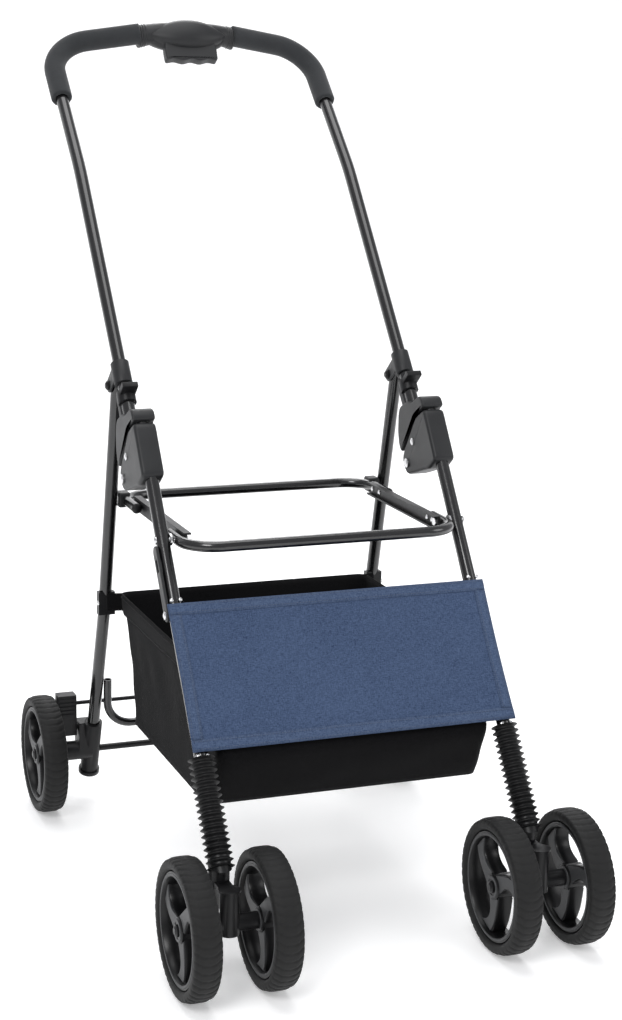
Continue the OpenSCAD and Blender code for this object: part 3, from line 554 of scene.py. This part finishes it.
for name, parts in (("ringClips", clips), ("ringPlugs", plugs)):
    obj = piece(name, *merged(parts)[:2], [blackPlastic])
    obj.data.set_sharp_from_angle(angle=math.radians(40))
    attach(obj, "ring")
print("ring fitted")

# ---- release housing on the grip bar ----
housingShape = {"half": 0.0475, "tall": 0.018, "deep": 0.0165, "drop": 0.0065, "sleeve": 0.0137, "taper": 0.0026,
                "rib": 0.0007, "ribsAt": (0.0545, 0.0575, 0.0602), "reach": 0.0618}
leverShape = {"outline": [(-31, -8), (31, -8), (34, -26), (33.5, -43), (22.5, -40.5), (11, -44), (0, -40.5),
                          (-11, -44), (-22.5, -40.5), (-33.5, -43), (-34, -26)], "half": 0.0065}
boxes = [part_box("release_shell_front"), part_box("release_shell_back")]
low = Vector([min(b[0][i] for b in boxes) for i in range(3)])
high = Vector([max(b[1][i] for b in boxes) for i in range(3)])
barMid = (low + high) / 2
gripRim = [v.co for v in frame["nodes"]["foam_grip_left"].data.vertices]
innerX = max(v.x for v in gripRim)
gripRim = [v for v in gripRim if v.x > innerX - 0.004]
gripEnd = sum(gripRim, Vector()) / len(gripRim)
leverAxis = Vector(jointOf["release_squeeze"]["axis"])
leverFront = Vector((0, -leverAxis.z, leverAxis.y))


def barAt(x):
    t = (x / gripEnd.x) ** 2
    return Vector((x, barMid.y + (gripEnd.y - barMid.y) * t, barMid.z + (gripEnd.z - barMid.z) * t))


def loftAcross(reach, count, section):
    rows = []
    for i in range(count + 1):
        x = -reach + 2 * reach * i / count
        tall, deep, power = section(x)
        for k in range(36):
            a = 2 * math.pi * k / 36
            c, d = math.cos(a), math.sin(a)
            rows.append(barAt(x) + leverAxis * tall * math.copysign(abs(d) ** power, d)
                        + leverFront * deep * math.copysign(abs(c) ** power, c))
    faces = grid(count + 1, 36, False, True)
    faces += [tuple(range(36)), tuple(count * 36 + k for k in range(35, -1, -1))]
    return rows, faces


lensDrop = leverAxis * -housingShape["drop"]


def lensSection(x):
    t = min(1, abs(x) / housingShape["half"])
    tall = housingShape["tall"] * max(0.0, 1 - t ** 2.4) ** 0.75 + 0.002
    return tall, housingShape["deep"] - 0.004 * t * t, 0.8


def rimSection(x):
    tall, deep, power = lensSection(x * 0.975)
    return tall + 0.0018, deep - 0.0045, 1.0


def sleeveSection(x):
    ribs = (max(0.0, 1 - ((abs(x) - at) / 0.0011) ** 2) for at in housingShape["ribsAt"])
    taper = housingShape["taper"] * (1 - abs(x) / housingShape["reach"])
    r = housingShape["sleeve"] - taper + sum(housingShape["rib"] * rib for rib in ribs)
    return r, r, 1.0


def onLever(t, a, b):
    return barMid + Vector((a, 0, 0)) + leverAxis * b + leverFront * t


lens, rimRing = loftAcross(0.0474, 60, lensSection), loftAcross(0.0482, 60, rimSection)
coverVerts, coverFaces = merged([(*lens, 0), (*rimRing, 0)])[:2]
cover = piece("releaseCover", [v + lensDrop for v in coverVerts], coverFaces, [lockPlastic])
lever = piece("releaseLever", *puffed(leverShape["outline"], leverShape["half"], 0.0018, onLever, 0.004),
              [lockPlastic])
lever.data.set_sharp_from_angle(angle=math.radians(40))
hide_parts("release_lever")
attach(lever, "release")
sleeves = piece("gripSleeves", *loftAcross(housingShape["reach"], 242, sleeveSection), [lockPlastic])
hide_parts("release_shell_front", "release_shell_back")
for obj in (cover, sleeves):
    obj.data.set_sharp_from_angle(angle=math.radians(40))
    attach(obj, "handle")
print("release housing built")

# ---- wheels ----
tyreShape = {"shoulder": 0.55, "bead": 0.0585, "sipes": 48, "slant": 62.0, "depth": 0.0009, "share": 0.28}
rimShape = {"outer": 0.0585, "lip": 0.0052, "half": 0.0118, "hub": 0.0135, "hubHalf": 0.011, "bore": 0.0041,
            "spokes": 3, "bow": 0.42, "web": 0.0078, "face": 0.0009}


def tyrePiece(name, centre, radius, half):
    segments, section = 384, []
    low = tyreShape["bead"]
    for k in range(34):
        a = 2 * math.pi * (k + 0.5) / 34
        c, s = math.cos(a), math.sin(a)
        power = 2 / 3.1
        x = half * math.copysign(abs(c) ** power, c)
        r = (radius + low) / 2 + (radius - low) / 2 * math.copysign(abs(s) ** power, s)
        section.append((x, r))
    verts = []
    for i in range(segments):
        a = 2 * math.pi * i / segments
        for x, r in section:
            tread = r > radius - 0.0075
            phase = (i / segments * tyreShape["sipes"] + abs(x) * tyreShape["slant"]) % 1.0
            cut = tyreShape["depth"] if tread and abs(x) > 0.0015 and phase < tyreShape["share"] else 0.0
            edge = 0.0005 if tread and abs(abs(x) - 0.0105) < 0.0012 else 0.0
            verts.append(centre + Vector((x, (r - cut - edge) * math.cos(a), (r - cut - edge) * math.sin(a))))
    return piece(name, verts, grid(segments, len(section), True, True), [tyreSkin])


def spokeParts(centre, turn, near, far, half, lift, kind, inset):
    # one bowed spoke, flared at both ends, as a closed bar
    steps, rows = 14, []
    for i in range(steps + 1):
        t = i / steps
        r = near + (far - near) * t
        middle = turn + rimShape["bow"] * (t * t - 0.25 * t)
        wide = 0.0062 + 0.0052 * (1 - t) ** 3 + 0.0058 * t ** 3 - inset
        for x, w in ((lift - half, wide), (lift - half + 0.001, wide + 0.0006), (lift + half - 0.001, wide + 0.0006),
                     (lift + half, wide), (lift + half, -wide), (lift + half - 0.001, -wide - 0.0006),
                     (lift - half + 0.001, -wide - 0.0006), (lift - half, -wide)):
            a = middle + w / r
            rows.append(centre + Vector((x, r * math.cos(a), r * math.sin(a))))
    faces = grid(steps + 1, 8, False, True)
    faces += [tuple(range(8)), tuple(steps * 8 + k for k in range(7, -1, -1))]
    return rows, faces, kind


def rimPiece(name, centre, outward):
    g = rimShape
    top, low, half = g["outer"], g["outer"] - g["lip"], g["half"]
    barrel = [(-half, top), (half, top), (half + 0.0006, top - 0.0012), (half + 0.0006, low + 0.0006),
              (half - 0.001, low - 0.0002), (0.004, low - 0.0016), (-0.004, low - 0.0016),
              (1e-3 - half, low - 0.0002), (-half - 0.0006, low + 0.0006), (-half - 0.0006, top - 0.0012)]
    hub, deep = g["hub"], g["hubHalf"]
    core = [(-deep, g["bore"]), (-deep, hub - 0.0015), (0.0012 - deep, hub), (deep - 0.0012, hub),
            (deep, hub - 0.0015), (deep, g["bore"])]
    parts = [(*turned(barrel, centre), 0), (*turned(core, centre, 48), 0)]
    for face in (-1, 1):
        edge = face * (half + 0.0006)
        band = [(edge, low + 0.001), (edge + face * 0.0005, low + 0.0014), (edge + face * 0.0005, low + 0.0034),
                (edge, low + 0.0038)]
        parts.append((*turned(band, centre), 1))
        dish = [(face * deep, 0.0085), (face * (deep + 0.0007), 0.0089), (face * (deep + 0.0007), 0.0116),
                (face * deep, 0.012)]
        parts.append((*turned(dish, centre, 48), 1))
    for k in range(g["spokes"]):
        turn = 2 * math.pi * k / g["spokes"] + (0.5 if outward > 0 else 0.15)
        parts.append(spokeParts(centre, turn, hub - 0.002, low + 0.001, g["web"], 0, 0, 0))
        for face in (-1, 1):
            parts.append(spokeParts(centre, turn, hub + 0.0012, low - 0.0016, g["face"], face * (g["web"] + 0.0004),
                                    1, 0.0014))
    verts, faces, kinds = merged(parts)
    obj = piece(name, verts, faces, [rimBlack, spokeGrey], kinds, smooth=False)
    for polygon in obj.data.polygons:
        polygon.use_smooth = True
    obj.data.set_sharp_from_angle(angle=math.radians(35))
    return obj


for nodeName in [n for n in frame["nodes"] if "tyre" in n]:
    low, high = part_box(nodeName)
    centre, half, radius = (low + high) / 2, (high.x - low.x) / 2, (high.y - low.y) / 2
    centre.z = radius
    body = frame["nodes"][nodeName]["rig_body"]
    tyre = tyrePiece(nodeName + ".treaded", centre, radius, half - 0.0003)
    rimName = nodeName.replace("tyre", "rim")
    rim = rimPiece(rimName + ".spoked", centre, centre.x)
    for obj, old, name in ((tyre, nodeName, "tyre"), (rim, rimName, "rim")):
        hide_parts(old)
        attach(obj, body)
print("wheels built")

# ---- bellows ----
bellowsShape = {"folds": 17, "root": 0.0106, "crest": 0.0145}
for side in sides:
    low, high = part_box("bellows_" + side)
    swivel = Vector(jointOf["caster_" + side + "_swivel"]["pos_m"])
    foot = swivel - legAxis * 0.011
    top = swivel + legAxis * 0.103
    holder = pathObject("bellows." + side, [foot, top])
    obj = folds.use(holder, Foot=tuple(foot), Top=tuple(top), Folds=float(bellowsShape["folds"]),
                    Root=bellowsShape["root"], Crest=bellowsShape["crest"], Finish=rubber)
    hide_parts("bellows_" + side)
    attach(obj, "front_frame")
    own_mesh(obj)
print("bellows folded")

# ---- front panel ----
panelShape = {"up": 0.108, "tall": 0.163, "ahead": 0.0093, "bow": 0.004, "ripple": 0.0013, "hem": 0.013,
              "thick": 0.0014}
swivel = Vector(jointOf["caster_left_swivel"]["pos_m"])
legFoot = Vector((0, swivel.y, swivel.z))
legFront = Vector((0, -legAxis.z, legAxis.y))  # square to the legs, pointing forward
panelLow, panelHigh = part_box("front_panel")
panelHalf = (panelHigh.x - panelLow.x) / 2


def panelPoint(u, v, lift=0.0):
    # u across from -1 to 1, v up from 0 to 1
    edge = (1 - u ** 6) * math.sin(math.pi * v) ** 0.6
    ripple = noise.noise(Vector((u * 2.2, v * 2.5, 3.1))) * panelShape["ripple"] * edge
    ahead = panelShape["ahead"] + panelShape["bow"] * (1 - u * u) * math.sin(math.pi * v) * 0.5 + ripple + lift
    waist = panelHalf * (1 - 0.006 * math.sin(math.pi * v))
    up = panelShape["up"] + panelShape["tall"] * v
    return legFoot + legAxis * up + legFront * ahead + Vector((u * waist, 0, 0))


def clothGrid(name, rows, columns, place, material, thick, offset=0.0):
    verts = [place(j / (columns - 1), i / (rows - 1)) for i in range(rows) for j in range(columns)]
    obj = piece(name, verts, grid(rows, columns), [material])
    area = sum(p.area for p in obj.data.polygons)
    addModifier(obj, "SOLIDIFY", thickness=thick, offset=offset)
    return settle(obj), area


panel, panelArea = clothGrid("frontPanel", 41, 91, lambda a, b: panelPoint(a * 2 - 1, b), denim, panelShape["thick"])
hemShare = panelShape["hem"] / panelShape["tall"]
hemSide = panelShape["hem"] / (2 * panelHalf) * 2
hemParts = []
for name, u0, u1, v0, v1, n, m in (("top", -1, 1, 1 - hemShare, 1, 6, 91), ("bottom", -1, 1, 0, hemShare, 6, 91),
                                   ("near", -1, -1 + hemSide, hemShare, 1 - hemShare, 36, 6),
                                   ("far", 1 - hemSide, 1, hemShare, 1 - hemShare, 36, 6)):
    def hemPlace(a, b, u0=u0, u1=u1, v0=v0, v1=v1):
        puff = 0.0006 * math.sin(math.pi * (b if v1 - v0 < 0.2 else a)) ** 0.5
        return panelPoint(u0 + (u1 - u0) * a, v0 + (v1 - v0) * b, panelShape["thick"] / 2 + 0.0002 + puff)
    strip, area = clothGrid("panelHem." + name, n, m, hemPlace, hemDenim, 0.0008)
    hemParts.append(strip)
rows = []
for share in (0.18, 0.82):
    v = hemShare * share
    across = [-1 + 2 * i / 180 for i in range(181)]
    lift = panelShape["thick"] / 2 + 0.0014
    rows.append([panelPoint(u * 0.985, v, lift) for u in across])
    rows.append([panelPoint(u * 0.985, 1 - v, lift) for u in across])
    for sign in (-1, 1):
        u = sign * (1 - hemSide * share)
        rows.append([panelPoint(u, hemShare + (1 - 2 * hemShare) * i / 80, lift) for i in range(81)])
panelStitches = stitchRow("panelStitches", rows, 0.0034, 0.00035, blueThread)
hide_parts("front_panel")
for obj in [panel, *hemParts, panelStitches]:
    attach(obj, "front_frame")
rivetParts = []
for sign in sides.values():
    for up in (panelShape["up"] - 0.0035, panelShape["up"] + panelShape["tall"] + 0.005):
        for across in (-0.0042, 0.0058) if up > 0.2 else (-0.0055, 0.0055):
            spot = legFoot + legAxis * up + legFront * 0.0072 + Vector((sign * halfFrame + across, 0, 0))
            rivetParts.append((*dome(spot, legFront + Vector((across * 60, 0, 0)), 0.0024, 0.0014), 0))
panelRivets = piece("panelRivets", *merged(rivetParts)[:2], [steel])
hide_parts("panel_rivets")
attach(panelRivets, "front_frame")
print("front panel sewn")

# ---- basket ----
basketShape = {"backLean": 0.37, "noseRise": 0.066, "noseOut": 0.036, "round": 0.011, "thick": 0.0012, "hem": 0.022,
               "sag": 0.004, "crease": 0.0024, "tuck": 0.0035}
basketLow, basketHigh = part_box("basket")
floorZ, rimZ = basketLow.z + 0.001, basketHigh.z - 0.004
halfWide = basketHigh.x - 0.0006


def basketEnds(z):
    # where the back and front walls stand at a height
    back = basketHigh.y - (rimZ - z) * basketShape["backLean"]
    nose = basketLow.z + basketShape["noseRise"]
    if z > nose:
        front = basketLow.y + (z - nose) * math.tan(legLean) + 0.002
    else:
        front = basketLow.y + basketShape["noseOut"] * (1 - (z - floorZ) / (nose - floorZ)) ** 1.4 + 0.002
    return back, front


def basketLoop(z, inset=0.0, count=28):
    back, front = basketEnds(z)
    wide = halfWide - inset
    r = basketShape["round"]
    back, front = back - inset, front + inset
    corners = [((wide, back), 0), ((-wide, back), 90), ((-wide, front), 180), ((wide, front), 270)]
    loop = []
    for k, ((x, y), start) in enumerate(corners):
        cx, cy = x - math.copysign(r, x), y - (r if k < 2 else -r)
        for i in range(9):
            a = math.radians(start + 90 * i / 8)
            loop.append((cx + r * math.cos(a), cy + r * math.sin(a)))
        nx, ny = corners[(k + 1) % 4][0]
        ex, ey = nx - math.copysign(r, nx), ny - (r if (k + 1) % 4 < 2 else -r)
        ax, ay = loop[-1]
        a = math.radians(start + 90)
        bx, by = ex + r * math.cos(a), ey + r * math.sin(a)
        loop += [(ax + (bx - ax) * i / count, ay + (by - ay) * i / count) for i in range(1, count)]
    return loop


def basketPoint(x, y, z, soft):
    # walls lean in a little between the seams, and crease
    wave = noise.noise(Vector((x * 14, y * 14, z * 22))) + 0.5 * noise.noise(Vector((x * 40, y * 34, z * 30)))
    middle = Vector((0, -0.06, z))
    out = Vector((x, y, z)) - middle
    out.normalize()
    return Vector((x, y, z)) - out * (soft * basketShape["tuck"] - wave * basketShape["crease"] * soft)


levels = 26
loopRows = []
for i in range(levels + 1):
    t = i / levels
    z = rimZ + (floorZ - rimZ) * t
    soft = math.sin(math.pi * min(t, 0.999)) ** 0.7
    loopRows.append([basketPoint(x, y, z, soft) for x, y in basketLoop(z, 0.0)])
for k in range(1, 13):
    # the floor closes towards its middle and sags
    shrink = 1 - k / 12.5
    back, front = basketEnds(floorZ)
    middleY = (back + front) / 2
    dip = basketShape["sag"] * (1 - shrink ** 2)
    row = []
    for x, y in basketLoop(floorZ):
        wave = noise.noise(Vector((x * 30 * shrink, y * 30 * shrink, 2))) * 0.0012
        row.append(Vector((x * shrink, middleY + (y - middleY) * shrink, floorZ + 0.004 - dip + wave)))
    loopRows.append(row)
columns = len(loopRows[0])
verts = [v for row in loopRows for v in row]
faces = grid(len(loopRows), columns, False, True)
faces.append(tuple((len(loopRows) - 1) * columns + j for j in range(columns - 1, -1, -1)))
basket = piece("basketCloth", verts, faces, [oxford])
addModifier(basket, "SOLIDIFY", thickness=basketShape["thick"], offset=-1.0)
basket = settle(basket)


def rimBand(name, top, low, lift, material):
    # a doubled hem round the rim
    loopA, loopB = basketLoop(top, -lift), basketLoop(low, -lift)
    rows = []
    for i in range(7):
        t = i / 6
        puff = 0.0006 * math.sin(math.pi * t)
        rows.append([Vector((a[0] + (b[0] - a[0]) * t, a[1] + (b[1] - a[1]) * t, top + (low - top) * t))
                     + Vector((math.copysign(puff, a[0]), 0, 0)) for a, b in zip(loopA, loopB)])
    obj = piece(name, [v for row in rows for v in row], grid(7, columns, False, True), [material])
    addModifier(obj, "SOLIDIFY", thickness=0.0012, offset=0.0)
    return settle(obj)


basketHem = rimBand("basketHem", rimZ + 0.0012, rimZ - basketShape["hem"], 0.0006, oxford)
seamRows = []
for drop in (0.003, basketShape["hem"] - 0.003):
    z = rimZ - drop
    loop = basketLoop(z, -0.0019)
    seamRows.append([Vector((x, y, z)) for x, y in loop + loop[:1]])
basketStitches = stitchRow("basketStitches", seamRows, 0.0042, 0.0004, blackThread)
tabShape = {"drop": 0.0005, "tall": 0.0215, "thick": 0.0014}
tabParts = []
for sign in sides.values():
    # a cloth tab runs from each back corner to the clip on the rear leg: two skins of 7 x 4 points
    ends = [Vector((sign * across, basketHigh.y + back, 0)) for across, back in
            ((halfWide - 0.03, 0.001), (halfWide - 0.004, 0.002), (halfFrame, 0.0065), (halfFrame + 0.0096, 0.0075))]
    heights = [rimZ - tabShape["drop"] - tabShape["tall"] * j / 6 for j in range(7)]
    strip = [e + Vector((0, lift, z)) for lift in (0, -tabShape["thick"]) for z in heights for e in ends]
    skin = grid(7, 4)
    faces = skin + [tuple(i + 28 for i in quad) for quad in skin]
    border = [0, 1, 2, 3] + [4 * j + 3 for j in range(1, 7)] + [26, 25, 24] + [4 * j for j in range(5, 0, -1)]
    faces += [(border[i - 1], border[i], border[i] + 28, border[i - 1] + 28) for i in range(len(border))]
    tabParts.append((strip, faces, 0))
basketTabs = piece("basketTabs", *merged(tabParts)[:2], [oxford])
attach(basketTabs, "front_frame")
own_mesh(basketTabs)
clipParts = []
for sign in sides.values():
    spot = Vector((sign * (halfFrame + 0.01), basketHigh.y + 0.0075, rimZ - 0.012))
    clipParts.append((*dome(spot, (sign, 0, 0), 0.0032, 0.0016), 0))
clipRivets = piece("clipRivets", *merged(clipParts)[:2], [steel])
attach(clipRivets, "rear_frame")
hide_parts("basket")
for obj in (basket, basketHem, basketStitches):
    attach(obj, "front_frame")
    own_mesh(obj)
print("basket sewn")

# ---- foam grips ----
for side, sign in sides.items():
    source = frame["nodes"]["foam_grip_" + side]
    mesh = source.data.copy()
    grip = bpy.data.objects.new("foamGrip." + side, mesh)
    bpy.context.scene.collection.objects.link(grip)
    tidyMesh(mesh)
    addModifier(grip, "REMESH", mode="VOXEL", voxel_size=0.0016, use_smooth_shade=True)
    addModifier(grip, "SMOOTH", iterations=6, factor=0.6)
    grip = settle(grip)
    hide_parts("foam_grip_" + side)
    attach(grip, "handle")
print("grips foamed")

# ---- stage, light and camera ----
stageShape = {"half": 6.0, "wall": 3.2, "sweep": 1.4, "high": 5.0}
rows = []
for i in range(-8, 30):
    if i <= 0:
        y, z = stageShape["wall"] + i * 1.0, 0.0
    elif i <= 18:
        a = math.pi / 2 * i / 18
        y, z = stageShape["wall"] + stageShape["sweep"] * math.sin(a), stageShape["sweep"] * (1 - math.cos(a))
    else:
        y, z = stageShape["wall"] + stageShape["sweep"], stageShape["sweep"] + (i - 18) * 0.4
    rows += [Vector((x, y, z - 0.0004)) for x in (-stageShape["half"], stageShape["half"])]
floor = piece("floor", rows, grid(38, 2), [paleFloor()])

lamps = {"key": ((-2.0, -2.6, 3.0), 1.6, 62), "fill": ((2.8, -2.0, 2.0), 2.0, 26), "back": ((0.6, 2.6, 3.0), 2.0, 40),
         "top": ((0.0, 0.0, 3.6), 2.6, 45)}
for name, (place, size, power) in lamps.items():
    lamp = bpy.data.lights.new(name, "AREA")
    lamp.shape, lamp.size, lamp.energy = "DISK", size, power
    obj = bpy.data.objects.new(name, lamp)
    bpy.context.scene.collection.objects.link(obj)
    obj.location = place
    obj.rotation_euler = (Vector((0, 0, 0.4)) - Vector(place)).to_track_quat("-Z", "Y").to_euler()
world = bpy.data.worlds.new("studio")
bpy.context.scene.world = world
world.use_nodes = True
world.node_tree.nodes["Background"].inputs[0].default_value = (0.95, 0.96, 1.0, 1)
world.node_tree.nodes["Background"].inputs[1].default_value = 0.5
bpy.context.scene.view_settings.view_transform = "Standard"

view = {"place": (-0.7558, -2.0902, 0.9054), "yaw": -20.75, "pitch": 12.44, "roll": 0.98, "lens": 69.83}
lens = bpy.data.cameras.new("camera")
lens.lens, lens.sensor_width, lens.clip_end = view["lens"], 36.0, 50.0
camera = bpy.data.objects.new("camera", lens)
bpy.context.scene.collection.objects.link(camera)
turn = (Matrix.Rotation(math.radians(view["yaw"]), 3, "Z") @ Matrix.Rotation(math.radians(90 - view["pitch"]), 3, "X")
        @ Matrix.Rotation(math.radians(view["roll"]), 3, "Z"))
camera.matrix_world = Matrix.Translation(view["place"]) @ turn.to_4x4()
bpy.context.scene.camera = camera
print("camera set")
